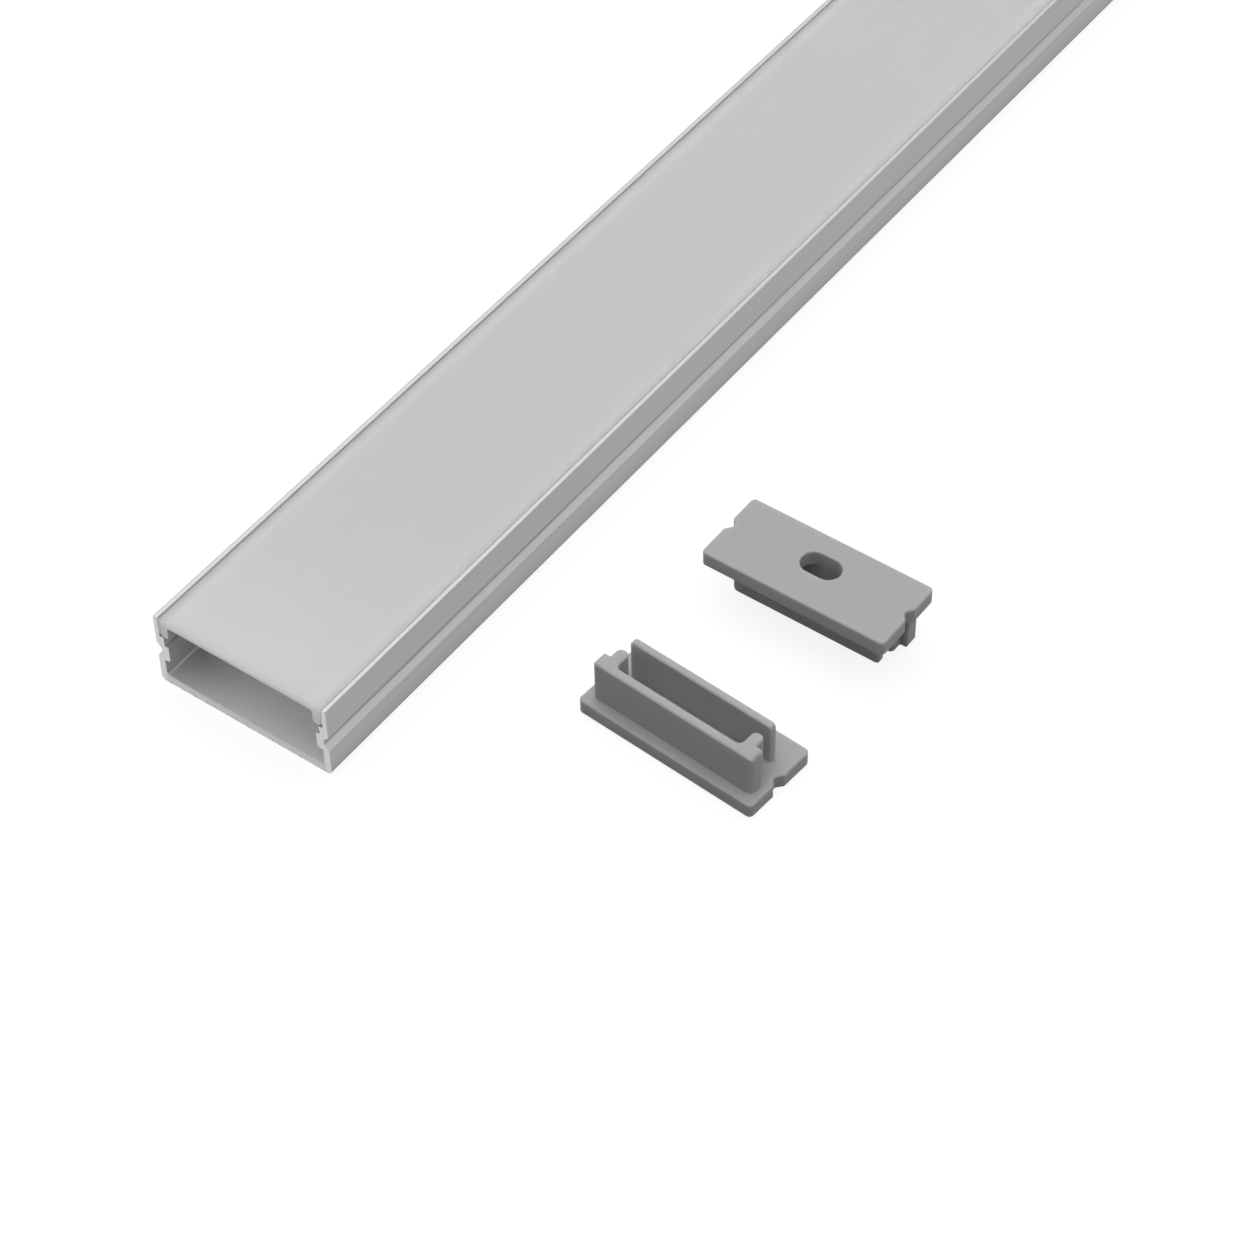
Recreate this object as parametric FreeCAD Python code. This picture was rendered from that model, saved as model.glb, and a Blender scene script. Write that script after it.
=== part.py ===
"""LED strip profile: an extruded aluminium channel, a slide-in diffuser cover and two loose end caps.

Millimetres. X runs along the channel, Y across it and Z up. The origin is the middle of the underside.
The cut end that lies towards -X is the one that the two caps lie beside.
"""
import FreeCAD, Part
import math
import os

from FreeCAD import Vector

# Overall size of the channel
channel_length = 500.0
channel_width = 23.5
channel_height = 10.0

# Channel section
floor_thickness = 1.2
lower_wall = 0.85
upper_wall = 0.6
base_corner_radius = 0.65
floor_fillet = 0.4
wall_top_radius = 0.2

# Clip groove along each outer side, and the rib of metal behind it
groove_mouth = 2.1
groove_root = 0.8
groove_depth = 0.65
groove_root_radius = 0.3
groove_mouth_radius = 0.1
groove_web = 1.0
rib_height = 2.3
rib_below_groove = 0.25
wall_share_below_rib = 0.64
rib_nose_radius = 0.4
ledge_radius = 0.15

# Shoulder under the cover's legs, with a score line along its face
shoulder_width = 0.55
score_depth = 0.15
wall_share_below_score = 0.3

# Snap ribs near the wall tops, which the cover's legs catch
snap_depth = 0.2
snap_height = 0.5
snap_above_lead_in = 0.15

# Diffuser cover
cover_recess = 0.15
cover_thickness = 0.75
leg_thickness = 1.2
leg_drop = 1.8
leg_inner_radius = 0.3
leg_foot_radius = 0.6
leg_lead_in = 0.4
cover_edge_radius = 0.12

# Running clearance between the cover and the channel
cover_side_clearance = 0.07
cover_seat_clearance = 0.15

# End caps
plate_thickness = 2.0
plate_corner_radius = 0.6
plate_edge_radius = 0.25
notch_mouth = 1.9
notch_root = 0.4
notch_depth = 0.6
notch_root_radius = 0.25
notch_mouth_radius = 0.25
plug_length = 5.4
plug_clearance = 0.15
plug_rib_clearance = 0.3
plug_floor_wall = 1.05
plug_return_wall = 1.4
plug_return_reach = 1.6
plug_cover_wall = 0.9
plug_cover_wall_inset = 0.25
plug_outer_radius = 0.5
plug_step_radius = 0.2
plug_pocket_radius = 0.7
plug_free_corner = 0.6
plug_lip_radius = 0.6
plug_edge_chamfer = 0.15

# Oval cable hole
cable_hole_length = 4.9
cable_hole_height = 3.1
cable_hole_edge_radius = 0.2

# Where the loose caps lie: clear gaps to the channel's side, from its end and between the caps
hole_cap_side_gap = 16.9
blank_cap_side_gap = 16.05
blank_cap_from_end = 21.3
cap_spacing = 11.8
blank_cap_turn = -4.0

# Levels and half widths that follow from the sizes above
half_width = channel_width / 2
cover_top = channel_height - cover_recess
cover_underside = cover_top - cover_thickness
leg_foot = cover_underside - leg_drop
shoulder_level = leg_foot - cover_seat_clearance
rib_low = floor_thickness + wall_share_below_rib * (shoulder_level - floor_thickness - rib_height)
groove_low = rib_low + rib_below_groove
ledge_level = rib_low + rib_height
snap_level = leg_foot + leg_lead_in + snap_above_lead_in + snap_height / 2
upper_face = half_width - upper_wall
shoulder_face = upper_face - shoulder_width
rib_face = half_width - groove_depth - groove_web
lower_face = half_width - lower_wall
cover_half_width = upper_face - cover_side_clearance
leg_inner_face = cover_half_width - leg_thickness


def rounded_wire(corners):
    """Closed wire in the YZ plane. Each corner is (y, z, radius), and a radius above zero rounds it.

    A rounding reaches along each of its two sides by half that side at most.
    """
    points = [Vector(0, y, z) for y, z, radius in corners]
    starts = []
    ends = []
    middles = []
    for index, point in enumerate(points):
        back = points[index - 1] - point
        ahead = points[(index + 1) % len(points)] - point
        shorter_side = min(back.Length, ahead.Length)
        if corners[index][2] <= 0:
            starts.append(point)
            ends.append(point)
            middles.append(None)
            continue
        half_angle = back.getAngle(ahead) / 2
        reach = min(corners[index][2] / math.tan(half_angle), shorter_side / 2)
        radius = reach * math.tan(half_angle)
        back.normalize()
        ahead.normalize()
        inward = (back + ahead).normalize()
        centre = point + inward * (radius / math.sin(half_angle))
        starts.append(point + back * reach)
        ends.append(point + ahead * reach)
        middles.append(centre - inward * radius)
    edges = []
    for index in range(len(points)):
        if middles[index] is not None:
            edges.append(Part.Arc(starts[index], middles[index], ends[index]).toShape())
        following = (index + 1) % len(points)
        if ends[index].distanceToPoint(starts[following]) > 1e-6:
            edges.append(Part.LineSegment(ends[index], starts[following]).toShape())
    return Part.Wire(edges)


def mirrored(half):
    """Outline from its +Y half, which runs from the underside's middle round to the inner middle."""
    other = [(-y, z, radius) for y, z, radius in reversed(half)]
    return half + other


def extruded(corners, start, length):
    """Solid of a rounded outline in the YZ plane, from X = start over the length."""
    face = Part.Face(rounded_wire(corners))
    face.translate(Vector(start, 0, 0))
    return face.extrude(Vector(length, 0, 0))


def outer_side(low_radius, top_radius, groove):
    """+Y outer side of the section, from the underside up to the wall top.

    The groove above groove_low is (mouth, root, depth, mouth radius, root radius).
    """
    mouth, root, depth, mouth_radius, root_radius = groove
    flank = (mouth - root) / 2
    return [
        (half_width, 0, low_radius),
        (half_width, groove_low, mouth_radius),
        (half_width - depth, groove_low + flank, root_radius),
        (half_width - depth, groove_low + flank + root, root_radius),
        (half_width, groove_low + mouth, mouth_radius),
        (half_width, channel_height, top_radius),
    ]


def snap_profile(face):
    """V-shaped rib or groove that reaches snap_depth in from a wall face, listed from the top down."""
    return [
        (face, snap_level + snap_height / 2, 0),
        (face - snap_depth, snap_level, 0),
        (face, snap_level - snap_height / 2, 0),
    ]


def make_channel():
    """Aluminium extrusion of U section, cut square at both ends."""
    score_level = ledge_level + wall_share_below_score * (shoulder_level - ledge_level)
    inner_side = [
        (upper_face, channel_height, wall_top_radius),
        *snap_profile(upper_face),
        (upper_face, shoulder_level, 0),
        (shoulder_face, shoulder_level, 0),
        (shoulder_face, score_level + score_depth, 0),
        (shoulder_face + score_depth, score_level, 0),
        (shoulder_face, score_level - score_depth, 0),
        (shoulder_face, ledge_level, 0),
        (rib_face, ledge_level, ledge_radius),
        (rib_face, rib_low, rib_nose_radius),
        (lower_face, rib_low, 0),
        (lower_face, floor_thickness, floor_fillet),
    ]
    groove = (groove_mouth, groove_root, groove_depth, groove_mouth_radius, groove_root_radius)
    outer = outer_side(base_corner_radius, wall_top_radius, groove)
    return extruded(mirrored(outer + inner_side), -channel_length / 2, channel_length)


def make_cover():
    """Milky cover: a flat sheet between the wall tops, with a down-turned snap leg along each edge."""
    half = [
        (leg_inner_face, cover_underside, leg_inner_radius),
        (leg_inner_face, leg_foot, leg_foot_radius),
        (cover_half_width - leg_lead_in, leg_foot, 0),
        (cover_half_width, leg_foot + leg_lead_in, 0),
        *reversed(snap_profile(cover_half_width)),
        (cover_half_width, cover_top, cover_edge_radius),
    ]
    return extruded(mirrored(half), -channel_length / 2, channel_length)


def edges_at(shape, level):
    """Edges of a shape that lie in the plane X = level."""
    return [
        edge for edge in shape.Edges
        if edge.BoundBox.XLength < 1e-6 and abs(edge.CenterOfMass.x - level) < 1e-6
    ]


def rounded_blade(half_length, low, thickness):
    """Flat blade of the plug's length, with the two corners of its free end rounded."""
    blade = Part.makeBox(plug_length, 2 * half_length, thickness, Vector(0, -half_length, low))
    corners = [edge for edge in edges_at(blade, plug_length) if edge.BoundBox.YLength < 1e-6]
    return blade.makeFillet(plug_free_corner, corners)


def make_cap(with_hole):
    """End cap as it sits on the channel's -X end: plate outside, plug reaching in towards +X."""
    notch = (notch_mouth, notch_root, notch_depth, notch_mouth_radius, notch_root_radius)
    outer = outer_side(plate_corner_radius, plate_corner_radius, notch)
    plate = extruded(mirrored(outer), -plate_thickness, plate_thickness)
    plate = plate.makeFillet(plate_edge_radius, edges_at(plate, -plate_thickness))
    plate = plate.makeChamfer(plug_edge_chamfer, edges_at(plate, 0))

    floor_side = floor_thickness + plug_clearance
    step_level = rib_low - plug_rib_clearance
    lip_end = step_level + plug_return_reach
    wide = lower_face - plug_clearance
    narrow = rib_face - plug_rib_clearance
    pocket = narrow - plug_return_wall
    pocket_floor = floor_side + plug_floor_wall
    tray = extruded(mirrored([
        (wide, floor_side, plug_outer_radius),
        (wide, step_level, plug_step_radius),
        (narrow, step_level, plug_step_radius),
        (narrow, lip_end, plug_lip_radius),
        (pocket, lip_end, plug_lip_radius),
        (pocket, pocket_floor, plug_pocket_radius),
    ]), 0, plug_length)
    tray = tray.makeChamfer(plug_edge_chamfer, edges_at(tray, plug_length))
    tray = tray.common(rounded_blade(wide, 0, channel_height))

    cover_wall_top = leg_foot - 2 * cover_seat_clearance
    cover_wall_underside = cover_wall_top - plug_cover_wall
    cover_wall = rounded_blade(narrow - plug_cover_wall_inset, cover_wall_underside, plug_cover_wall)
    rims = [
        edge for edge in cover_wall.Edges
        if edge.BoundBox.ZLength < 1e-6 and edge.CenterOfMass.x > 1e-6
    ]
    cover_wall = cover_wall.makeChamfer(plug_edge_chamfer, rims)

    cap = plate.fuse([tray, cover_wall]).removeSplitter()
    if with_hole:
        hole_centre = (pocket_floor + cover_wall_underside) / 2
        hole_end = cable_hole_length / 2
        radius = cable_hole_height / 2
        low = hole_centre - radius
        high = hole_centre + radius
        oval = mirrored([(hole_end, low, radius), (hole_end, high, radius)])
        cap = cap.cut(extruded(oval, -plate_thickness, plate_thickness))
        rim = [
            edge for edge in edges_at(cap, -plate_thickness)
            if abs(edge.CenterOfMass.y) < hole_end and low - 1e-6 < edge.CenterOfMass.z < high + 1e-6
        ]
        cap = cap.makeFillet(cable_hole_edge_radius, rim)
    return cap


def laid_down(cap, plug_up, centre_x, centre_y, turn):
    """Cap laid on the surface that the channel lies on, with its plug up or its plug down."""
    cap.translate(Vector(plate_thickness, 0, -channel_height / 2))
    cap.rotate(Vector(0, 0, 0), Vector(1, 0, 1), 180)
    if not plug_up:
        cap.rotate(Vector(0, 0, 0), Vector(0, 1, 0), 180)
        cap.translate(Vector(0, 0, plate_thickness + plug_length))
    cap.rotate(Vector(0, 0, 0), Vector(0, 0, 1), turn)
    cap.translate(Vector(centre_x, centre_y, 0))
    return cap


hole_cap_y = -(channel_width + hole_cap_side_gap)
blank_cap_y = -(channel_width + blank_cap_side_gap)
blank_cap_x = -channel_length / 2 + blank_cap_from_end + channel_height / 2
hole_cap_x = blank_cap_x + channel_height + cap_spacing

parts = {
    "aluminium_channel": make_channel(),
    "diffuser_cover": make_cover(),
    "end_cap_with_cable_hole": laid_down(make_cap(True), False, hole_cap_x, hole_cap_y, 0),
    "end_cap_blank": laid_down(make_cap(False), True, blank_cap_x, blank_cap_y, blank_cap_turn),
}

os.makedirs("parts", exist_ok=True)
for name, shape in parts.items():
    shape.exportStep("parts/" + name + ".step")
    print(name, shape.isValid(), len(shape.Solids), round(shape.Volume, 2), shape.BoundBox)
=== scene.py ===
import math

import bpy
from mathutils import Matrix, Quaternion, Vector


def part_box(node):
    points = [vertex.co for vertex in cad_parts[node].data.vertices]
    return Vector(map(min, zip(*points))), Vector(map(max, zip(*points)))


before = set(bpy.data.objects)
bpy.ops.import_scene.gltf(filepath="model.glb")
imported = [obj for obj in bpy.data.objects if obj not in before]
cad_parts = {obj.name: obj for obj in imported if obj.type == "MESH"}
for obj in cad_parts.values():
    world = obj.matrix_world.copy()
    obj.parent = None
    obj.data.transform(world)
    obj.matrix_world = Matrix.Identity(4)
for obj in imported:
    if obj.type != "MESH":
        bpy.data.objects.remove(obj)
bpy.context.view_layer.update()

MM = 0.001

# Far corners of the two sawn lengths, and how close to an end a point counts as on the cut
_, CHANNEL_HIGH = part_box("aluminium_channel")
_, COVER_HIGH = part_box("diffuser_cover")
CUT_DEPTH = 0.004 * MM

# What counts as the inside of the channel: less than the half width from the middle, or above the shoulders
# for the cover's legs less than a step more, and between two levels
INSIDE_HALF_WIDTH = 11.0 * MM
SHOULDER_LEVEL = 7.3 * MM
SHOULDER_STEP = 0.17 * MM
INSIDE_BOTTOM = 1.0 * MM
INSIDE_TOP = 9.97 * MM

# Below which level the inside counts as its floor, and the sawn end as the floor's
BED_TOP = 1.3 * MM
FLOOR_CUT_TOP = 1.22 * MM

# Painted shade on the channel's outer sides, darker towards the floor: the level where each starts, and the
# one where it is full
BROAD_PAINTED_SHADE = (3.0 * MM, 0.3 * MM)
CORNER_PAINTED_SHADE = (0.9 * MM, 0.4 * MM)

# Height of the painted shadows of the saw's nicks for a full swing of their noise, and the noise level where
# they start
NICK_SHADOW_HEIGHT = 1.5 * MM
NICK_SHADOW_START = 0.50

# How far from the middle the painted shade on the cover over its legs starts, and where it is darkest
PAINTED_SHADE_OVER_LEGS = (9.6 * MM, 11.0 * MM)

# Metal: how metallic its drawn faces, sawn ends and inner floor are, and how rough the first two
DRAWN_METALLIC = 0.75
CUT_METALLIC = 0.92
BED_METALLIC = 0.55
DRAWN_ROUGHNESS = 0.34
CUT_ROUGHNESS = 0.40

# Greys of the metal, with painted light inside, painted shade low outside and painted nick shadows
DRAWN_DARK = 0.34
DRAWN_PALE = 0.43
SPECK = 0.45
INSIDE_PAINTED_LIGHT = 0.71
LOW_PAINTED_SHADE = 0.16
CUT_DARK = 0.54
CUT_PALE = 0.68
FLOOR_CUT = 0.42
NICK_SHADOW = 0.12

# Opal cover: how far light spreads inside it, how metallic its sawn ends are set so that they look bright,
# how rough its skin is, and its colours, among them painted shade over the legs and painted light on the
# sawn ends
COVER_SPREAD = 5.2 * MM
COVER_CUT_METALLIC = 0.35
COVER_ROUGHNESS = 0.46
SHEET_DARK = (0.845, 0.858, 0.875, 1.0)
SHEET_PALE = (0.87, 0.883, 0.9, 1.0)
SHEET_PAINTED_SHADE = (0.71, 0.722, 0.732, 1.0)
SHEET_CUT_PAINTED_LIGHT = (0.95, 0.96, 0.96, 1.0)

# Moulded caps: how far light spreads inside them, how rough their skin is, and their colours
CAP_SPREAD = 1.8 * MM
CAP_ROUGHNESS = 0.50
MOULDED_DARK = (0.382, 0.391, 0.388, 1.0)
MOULDED_PALE = (0.412, 0.421, 0.418, 1.0)
MOULDED_SKIN = (0.35, 0.355, 0.345, 1.0)

# Floor: half its side, how far it lies below the object, how much light it gives back, and how much of plain
# white the lamps put on it
FLOOR_HALF = 4.0
FLOOR_DROP = 0.05 * MM
FLOOR_SHADE = 0.20
FLOOR_LIGHT = 0.75

# Light of the surroundings, in units of plain white
WORLD_LIGHT = 0.08

# Square lamps that face the camera's target: bearing in degrees, distance and side in metres, and radiance
# in units of plain white
SOFTBOXES = {
    "back_softbox": {"azimuth": 130, "elevation": 50, "distance": 1.4, "side": 1.2, "radiance": 0.62},
    "top_softbox": {"azimuth": -60, "elevation": 88, "distance": 1.2, "side": 2.2, "radiance": 1.42},
    "side_softbox": {"azimuth": 36, "elevation": 24, "distance": 1.2, "side": 0.8, "radiance": 0.6},
}

# Camera: where it looks on the floor, from how far and from which side, in metres and degrees, and its
# lens and sensor in millimetres
CAMERA_TARGET = Vector((-214.970, -24.265, 0.0)) * MM
CAMERA_DISTANCE = 398.040 * MM
CAMERA_AZIMUTH = -53.061
CAMERA_ELEVATION = 47.667
CAMERA_ROLL = 1.157
CAMERA_LENS = 105.447
CAMERA_SENSOR = 36.0
CAMERA_CLIP_START = 0.01
CAMERA_CLIP_END = 20.0


class Signal:
    """An output of a finish's nodes. Arithmetic and comparisons on values add Math nodes."""

    def __init__(self, finish, socket):
        self.finish = finish
        self.socket = socket

    def _math(self, operation, first, second):
        return self.finish.node("ShaderNodeMath", {"operation": operation}, {0: first, 1: second})

    def __add__(self, other):
        return self._math("ADD", self, other)

    def __radd__(self, other):
        return self._math("ADD", other, self)

    def __sub__(self, other):
        return self._math("SUBTRACT", self, other)

    def __rsub__(self, other):
        return self._math("SUBTRACT", other, self)

    def __mul__(self, other):
        return self._math("MULTIPLY", self, other)

    def __rmul__(self, other):
        return self._math("MULTIPLY", other, self)

    def __gt__(self, other):
        return self._math("GREATER_THAN", self, other)

    def __lt__(self, other):
        return self._math("LESS_THAN", self, other)

    def __abs__(self):
        return self.finish.node("ShaderNodeMath", {"operation": "ABSOLUTE"}, {0: self})


class Finish:
    """A material or the world, built node by node."""

    def __init__(self, holder):
        self.holder = holder
        holder.use_nodes = True
        self.tree = holder.node_tree
        self.tree.nodes.clear()

    def node(self, kind, settings=None, inputs=None, output=0):
        """Adds a node: its settings first, then its sockets' values or links. Returns one of its outputs."""
        made = self.tree.nodes.new(kind)
        for name, value in (settings or {}).items():
            setattr(made, name, value)
        for key, value in (inputs or {}).items():
            if isinstance(value, Signal):
                self.tree.links.new(value.socket, made.inputs[key])
            else:
                made.inputs[key].default_value = value
        return Signal(self, made.outputs[output]) if made.outputs else None

    def place(self):
        """Object coordinates, in metres, as a vector and as its three values."""
        vector = self.node("ShaderNodeTexCoord", output="Object")
        parts = self.tree.nodes.new("ShaderNodeSeparateXYZ")
        self.tree.links.new(vector.socket, parts.inputs[0])
        return vector, [Signal(self, socket) for socket in parts.outputs]

    def noise(self, vector, stretch, detail=2.0, roughness=0.5):
        """Noise between 0 and 1 whose cells per metre along X, Y and Z are the stretch."""
        scaled = self.node(
            "ShaderNodeMapping", {"vector_type": "POINT"}, {"Vector": vector, "Scale": stretch}
        )
        return self.node(
            "ShaderNodeTexNoise",
            {"noise_dimensions": "3D"},
            {"Vector": scaled, "Scale": 1.0, "Detail": detail, "Roughness": roughness},
            output="Fac",
        )

    def blend(self, factor, first, second):
        """Colour between two colours. Of the node's sockets, these are the ones for colours."""
        return self.node(
            "ShaderNodeMix",
            {"data_type": "RGBA", "clamp_factor": True},
            {0: factor, 6: first, 7: second},
            output=2,
        )

    def ramp(self, value, start, end):
        """Smooth step of a value from 0 at the start to 1 at the end."""
        return self.node(
            "ShaderNodeMapRange",
            {"interpolation_type": "SMOOTHSTEP"},
            {"Value": value, "From Min": start, "From Max": end},
        )

    def relief(self, height, depth, strength):
        """Normal bent by a height between 0 and 1 that stands for the depth in metres."""
        return self.node(
            "ShaderNodeBump", {}, {"Height": height, "Distance": depth, "Strength": strength}
        )

    def surface(self, inputs):
        """Closes the material with a Principled shader."""
        shader = self.node("ShaderNodeBsdfPrincipled", {}, inputs)
        self.node("ShaderNodeOutputMaterial", {}, {"Surface": shader})
        return self.holder


def grey(value, red=1.0, blue=1.0):
    """Colour of a grey, with its red and blue a little weaker or stronger."""
    return (value * red, value, value * blue, 1.0)


def metal_grey(value):
    """Grey of the anodised metal, with a faint green tone."""
    return grey(value, red=0.975, blue=0.988)


def anodised_aluminium():
    """Satin anodised extrusion: die lines along X, an etched grain, painted light that makes the inside
    paler, painted shade at the lower corners outside, and sawn ends with saw marks and painted nick shadows
    at the lower edge."""
    finish = Finish(bpy.data.materials.new("anodised_aluminium"))
    place, (x, y, z) = finish.place()
    sawn = abs(x) > CHANNEL_HIGH.x - CUT_DEPTH

    die_lines = finish.noise(place, stretch=(2.0, 2600.0, 2600.0), detail=3.0, roughness=0.6)
    broad_lines = finish.noise(place, stretch=(1.0, 420.0, 420.0), detail=1.0)
    grain = finish.noise(place, stretch=(9000.0, 9000.0, 9000.0), detail=1.0)
    clouds = finish.noise(place, stretch=(35.0, 160.0, 160.0), detail=2.0)
    saw_marks = finish.noise(place, stretch=(0.0, 500.0, 9000.0), detail=2.0)
    nick_shadow_noise = finish.noise(place, stretch=(0.0, 900.0, 900.0), detail=4.0, roughness=0.8)

    shade = 0.5 * die_lines + 0.25 * broad_lines + 0.25 * clouds
    drawn = finish.blend(shade, metal_grey(DRAWN_DARK), metal_grey(DRAWN_PALE))
    speckled = finish.blend(grain * 0.5, drawn, metal_grey(SPECK))

    wall_face = INSIDE_HALF_WIDTH + (z > SHOULDER_LEVEL) * SHOULDER_STEP
    inside = (abs(y) < wall_face) * (z > INSIDE_BOTTOM) * (z < INSIDE_TOP)
    on_bed = inside * (z < BED_TOP)
    # Painted light: the inside of the channel painted paler, its floor more so
    inside_painted_light = finish.blend(0.6 * inside + 0.35 * on_bed, speckled, metal_grey(INSIDE_PAINTED_LIGHT))

    # Painted shade: the outer sides darker towards the floor, most at the lower corners
    low_painted_shade = 0.2 * finish.ramp(z, *BROAD_PAINTED_SHADE) + 0.7 * finish.ramp(z, *CORNER_PAINTED_SHADE)
    outer_painted_shade = low_painted_shade * (abs(y) > INSIDE_HALF_WIDTH)
    with_low_painted_shade = finish.blend(outer_painted_shade, inside_painted_light, metal_grey(LOW_PAINTED_SHADE))

    floor_end = (z < FLOOR_CUT_TOP) * (abs(y) < INSIDE_HALF_WIDTH)
    # Painted shadows of the saw's nicks: dark flecks along the cut's lower edge
    nick_shadows = (nick_shadow_noise - NICK_SHADOW_START) * NICK_SHADOW_HEIGHT > z
    clean_cut = finish.blend(saw_marks, metal_grey(CUT_DARK), metal_grey(CUT_PALE))
    cut = finish.blend(floor_end * 0.5, clean_cut, metal_grey(FLOOR_CUT))
    with_nick_shadows = finish.blend(nick_shadows * 0.75, cut, metal_grey(NICK_SHADOW))

    satin = DRAWN_ROUGHNESS + 0.10 * die_lines + 0.06 * clouds
    metallic_cut = (CUT_METALLIC - DRAWN_METALLIC) * sawn
    metallic_bed = (BED_METALLIC - DRAWN_METALLIC) * on_bed
    ridges = die_lines * (1 - sawn) + saw_marks * sawn * 2.0 + grain * 0.6
    return finish.surface({
        "Base Color": finish.blend(sawn, with_low_painted_shade, with_nick_shadows),
        "Metallic": DRAWN_METALLIC + metallic_cut + metallic_bed,
        "Roughness": satin + sawn * (CUT_ROUGHNESS - satin),
        "Normal": finish.relief(ridges, depth=0.002 * MM, strength=0.6),
    })


def milky_plastic():
    """Opal cover: satin skin, light that spreads inside, painted shade over the legs, sawn ends painted pale
    and set metallic for painted light.
    """
    finish = Finish(bpy.data.materials.new("milky_plastic"))
    place, (x, y, _) = finish.place()
    sawn = abs(x) > COVER_HIGH.x - CUT_DEPTH

    skin = finish.noise(place, stretch=(2600.0, 2600.0, 2600.0), detail=2.0)
    flow = finish.noise(place, stretch=(6.0, 260.0, 260.0), detail=2.0)
    saw_marks = finish.noise(place, stretch=(0.0, 600.0, 8000.0), detail=2.0)

    sheet = finish.blend(flow, SHEET_DARK, SHEET_PALE)
    # Painted shade: the cover darker over its legs
    with_leg_shade = finish.blend(finish.ramp(abs(y), *PAINTED_SHADE_OVER_LEGS), sheet, SHEET_PAINTED_SHADE)
    return finish.surface({
        # Painted light: the sawn ends painted pale, and set metallic below so that they reflect the bright
        # floor
        "Base Color": finish.blend(sawn, with_leg_shade, SHEET_CUT_PAINTED_LIGHT),
        "Metallic": COVER_CUT_METALLIC * sawn,
        "Roughness": COVER_ROUGHNESS + 0.06 * skin + 0.12 * sawn,
        "Normal": finish.relief(skin + saw_marks * sawn, depth=0.002 * MM, strength=0.5),
        "Subsurface Weight": 1.0,
        "Subsurface Radius": (1.0, 1.0, 1.0),
        "Subsurface Scale": COVER_SPREAD,
        "IOR": 1.49,
    })


def grey_plastic():
    """Moulded grey plastic: fine eroded skin, faint flow clouds and a little light inside."""
    finish = Finish(bpy.data.materials.new("grey_plastic"))
    place, _ = finish.place()

    skin = finish.noise(place, stretch=(7000.0, 7000.0, 7000.0), detail=2.0)
    clouds = finish.noise(place, stretch=(180.0, 180.0, 180.0), detail=3.0)

    clouded = finish.blend(clouds, MOULDED_DARK, MOULDED_PALE)
    return finish.surface({
        "Base Color": finish.blend(skin * 0.35, clouded, MOULDED_SKIN),
        "Roughness": CAP_ROUGHNESS + 0.12 * skin,
        "Normal": finish.relief(skin, depth=0.006 * MM, strength=0.5),
        "Subsurface Weight": 0.9,
        "Subsurface Radius": (1.0, 0.95, 0.8),
        "Subsurface Scale": CAP_SPREAD,
    })


def seen_directly(finish):
    """1 for rays that show the background in the picture, in gloss or through glass, and 0 for its light."""
    rays = finish.tree.nodes.new("ShaderNodeLightPath")
    camera, glossy, through = (
        Signal(finish, rays.outputs[name])
        for name in ("Is Camera Ray", "Is Glossy Ray", "Is Transmission Ray")
    )
    return camera + glossy + through


def floor_paper():
    """Pale paper that takes shadows and looks white where nothing shades it."""
    finish = Finish(bpy.data.materials.new("floor_paper"))
    paper = finish.node("ShaderNodeBsdfDiffuse", {}, {"Color": grey(FLOOR_SHADE)})
    lift = finish.node(
        "ShaderNodeEmission",
        {},
        {"Color": grey(1.0), "Strength": seen_directly(finish) * (1 - FLOOR_SHADE * FLOOR_LIGHT)},
    )
    shown = finish.node("ShaderNodeAddShader", {}, {0: paper, 1: lift})
    finish.node("ShaderNodeOutputMaterial", {}, {"Surface": shown})
    return finish.holder


def dress(name, finish):
    """Gives a CAD node its material."""
    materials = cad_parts[name].data.materials
    materials.clear()
    materials.append(finish)


def bearing(azimuth, elevation):
    """Direction towards a lamp or the camera, from degrees. Azimuth 0 lies on the -Y side."""
    around = math.radians(azimuth)
    up = math.radians(elevation)
    return Vector((
        math.sin(around) * math.cos(up),
        -math.cos(around) * math.cos(up),
        math.sin(up),
    ))


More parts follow.
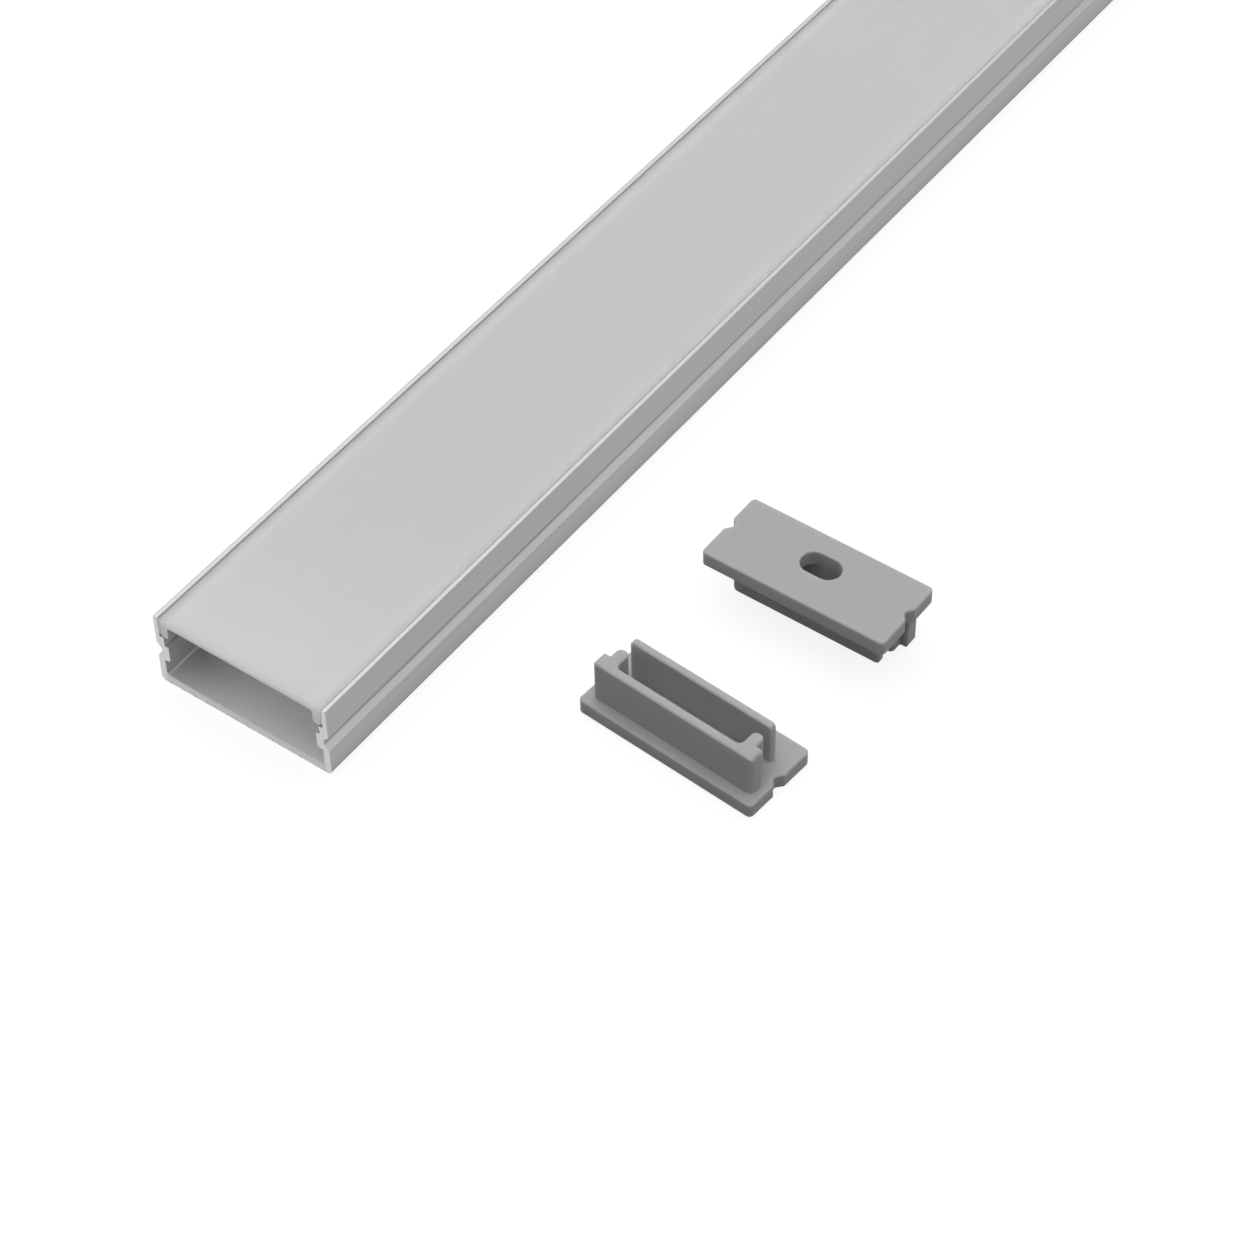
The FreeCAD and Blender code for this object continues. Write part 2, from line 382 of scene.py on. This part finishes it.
def add_facing(name, data, away, distance, roll=0.0):
    """Puts a lamp or camera at a distance from the camera's target, facing it."""
    holder = bpy.data.objects.new(name, data)
    holder.location = CAMERA_TARGET + away * distance
    holder.rotation_mode = "QUATERNION"
    holder.rotation_quaternion = away.to_track_quat("Z", "Y") @ Quaternion((0, 0, 1), -math.radians(roll))
    bpy.context.collection.objects.link(holder)
    return holder


def add_floor():
    """Plain white surface under everything."""
    mesh = bpy.data.meshes.new("floor")
    sides = [(-1, -1), (1, -1), (1, 1), (-1, 1)]
    corners = [(x * FLOOR_HALF, y * FLOOR_HALF, -FLOOR_DROP) for x, y in sides]
    mesh.from_pydata(corners, [], [(0, 1, 2, 3)])
    mesh.materials.append(floor_paper())
    floor = bpy.data.objects.new("floor", mesh)
    bpy.context.collection.objects.link(floor)


def add_world():
    """Even white surroundings."""
    world = bpy.data.worlds.new("studio")
    bpy.context.scene.world = world
    finish = Finish(world)
    level = WORLD_LIGHT + seen_directly(finish) * (1 - WORLD_LIGHT)
    light = finish.node("ShaderNodeBackground", {}, {"Color": grey(1.0), "Strength": level})
    finish.node("ShaderNodeOutputWorld", {}, {"Surface": light})


def add_softbox(name, azimuth, elevation, distance, side, radiance):
    """Square lamp that faces the camera's target."""
    lamp = bpy.data.lights.new(name, "AREA")
    lamp.shape = "SQUARE"
    lamp.size = side
    lamp.energy = radiance * math.pi * side * side
    add_facing(name, lamp, bearing(azimuth, elevation), distance)


def add_camera():
    """Camera at the photograph's viewing angle."""
    camera = bpy.data.cameras.new("camera")
    camera.lens = CAMERA_LENS
    camera.sensor_width = CAMERA_SENSOR
    camera.clip_start = CAMERA_CLIP_START
    camera.clip_end = CAMERA_CLIP_END
    away = bearing(CAMERA_AZIMUTH, CAMERA_ELEVATION)
    bpy.context.scene.camera = add_facing("camera", camera, away, CAMERA_DISTANCE, CAMERA_ROLL)


moulded = grey_plastic()
dress("aluminium_channel", anodised_aluminium())
dress("diffuser_cover", milky_plastic())
dress("end_cap_with_cable_hole", moulded)
dress("end_cap_blank", moulded)

add_floor()
add_world()
for name, settings in SOFTBOXES.items():
    add_softbox(name, **settings)
add_camera()
bpy.context.scene.view_settings.view_transform = "Standard"
